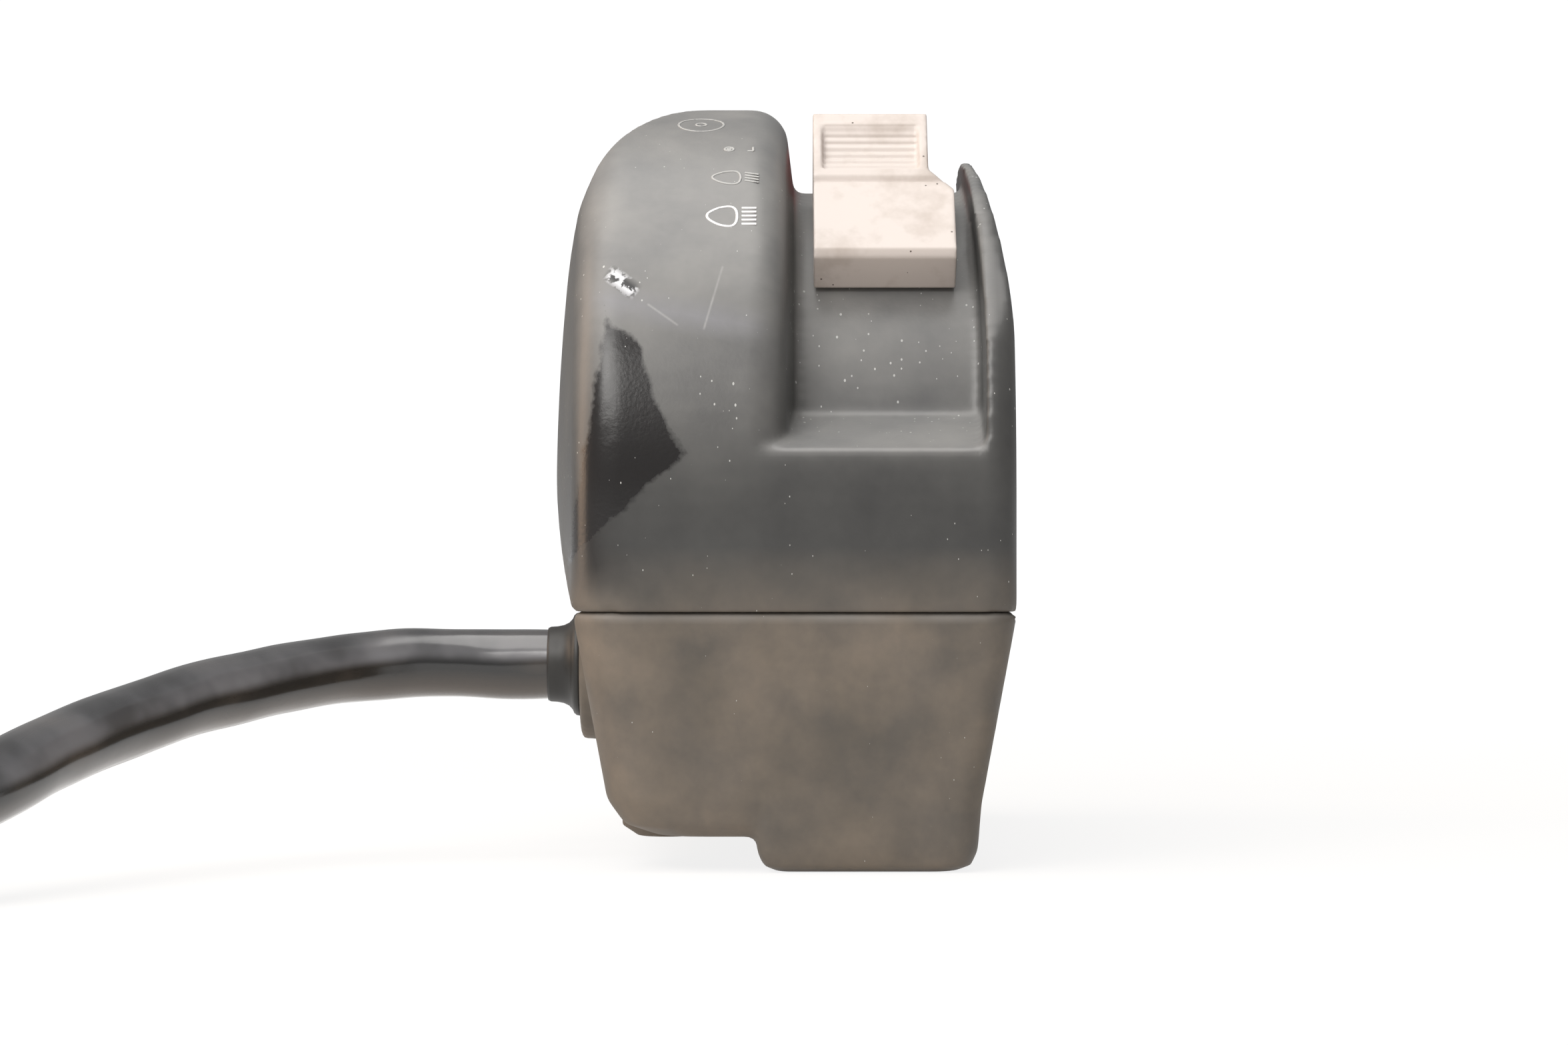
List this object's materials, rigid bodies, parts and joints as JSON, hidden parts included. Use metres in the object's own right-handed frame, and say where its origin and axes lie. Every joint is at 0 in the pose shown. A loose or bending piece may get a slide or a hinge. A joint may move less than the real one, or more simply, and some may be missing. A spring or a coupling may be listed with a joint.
{
  "type": "handlebar switch cluster",
  "caption": "Left-hand handlebar switch housing in two black plastic halves, with a lights slide, an engine-stop slide, a sprung start button and a coiled lead.",
  "frame": {"origin": "on the handlebar's axis, at the middle of the housing, in the plane where the two halves meet", "axes": "+X along the bar towards the grip, +Z towards the rider, -Y towards the sky; the foot of the front cover points to -Z"},
  "size_m": [0.1744, 0.1396, 0.0736],
  "materials": {
    "black_plastic": "moulded, weathered",
    "beige_plastic": "moulded, satin",
    "red_plastic": "moulded, satin",
    "yellow_plastic": "moulded, satin",
    "white_nylon": "moulded",
    "phenolic": "pressed laminate",
    "brass": "stamped",
    "steel": "zinc plated",
    "rubber": "moulded",
    "vinyl_sleeve": "soft satin",
    "wire_insulation": "extruded",
    "nylon_tie": "moulded"
  },
  "bodies": {
    "housing": {"rear_housing": "black_plastic", "front_cover": "black_plastic", "clamp_screws": "steel", "screw_inserts": "brass", "lights_base": "phenolic", "lights_contacts": "brass", "lights_base_screws": "steel", "stop_base": "phenolic", "stop_contacts": "brass", "stop_base_screws": "steel", "start_spring": "steel", "start_base": "phenolic", "start_contacts": "brass", "start_base_screw": "steel", "inner_wires": "wire_insulation", "cable_grommet": "rubber", "cable_clip": "steel", "cable_clip_screw": "steel", "cable_sheath": "vinyl_sleeve", "cable_coil": "vinyl_sleeve", "cable_tail": "vinyl_sleeve", "cable_tie": "nylon_tie", "connector_housing": "white_nylon", "connector_terminals": "brass", "connector_lock": "red_plastic"},
    "lights_slider": {"lights_knob": "beige_plastic", "lights_carrier": "white_nylon", "lights_bridge": "brass", "lights_detent_ball": "steel", "lights_detent_spring": "steel"},
    "stop_slider": {"stop_knob": "red_plastic", "stop_carrier": "white_nylon", "stop_bridge": "brass", "stop_detent_ball": "steel", "stop_detent_spring": "steel"},
    "start_plunger": {"start_button": "yellow_plastic", "start_clip": "steel", "start_contact": "brass"}
  },
  "joints": [
    {"name": "lights_slide", "type": "hinge", "parent": "housing", "child": "lights_slider", "pos_m": [0.009, 0, 0.01], "axis": [-1, 0, 0], "range_deg": [-8.2, 8.2]},
    {"name": "stop_slide", "type": "hinge", "parent": "housing", "child": "stop_slider", "pos_m": [0.009, 0, 0.01], "axis": [-1, 0, 0], "range_deg": [-8, 8]},
    {"name": "start_press", "type": "slide", "parent": "housing", "child": "start_plunger", "axis": [0, 0, -1], "range_m": [0, 0.0025], "stiffness_N_per_m": 600, "springref_m": -0.002, "deforming": ["start_spring"]}
  ]
}
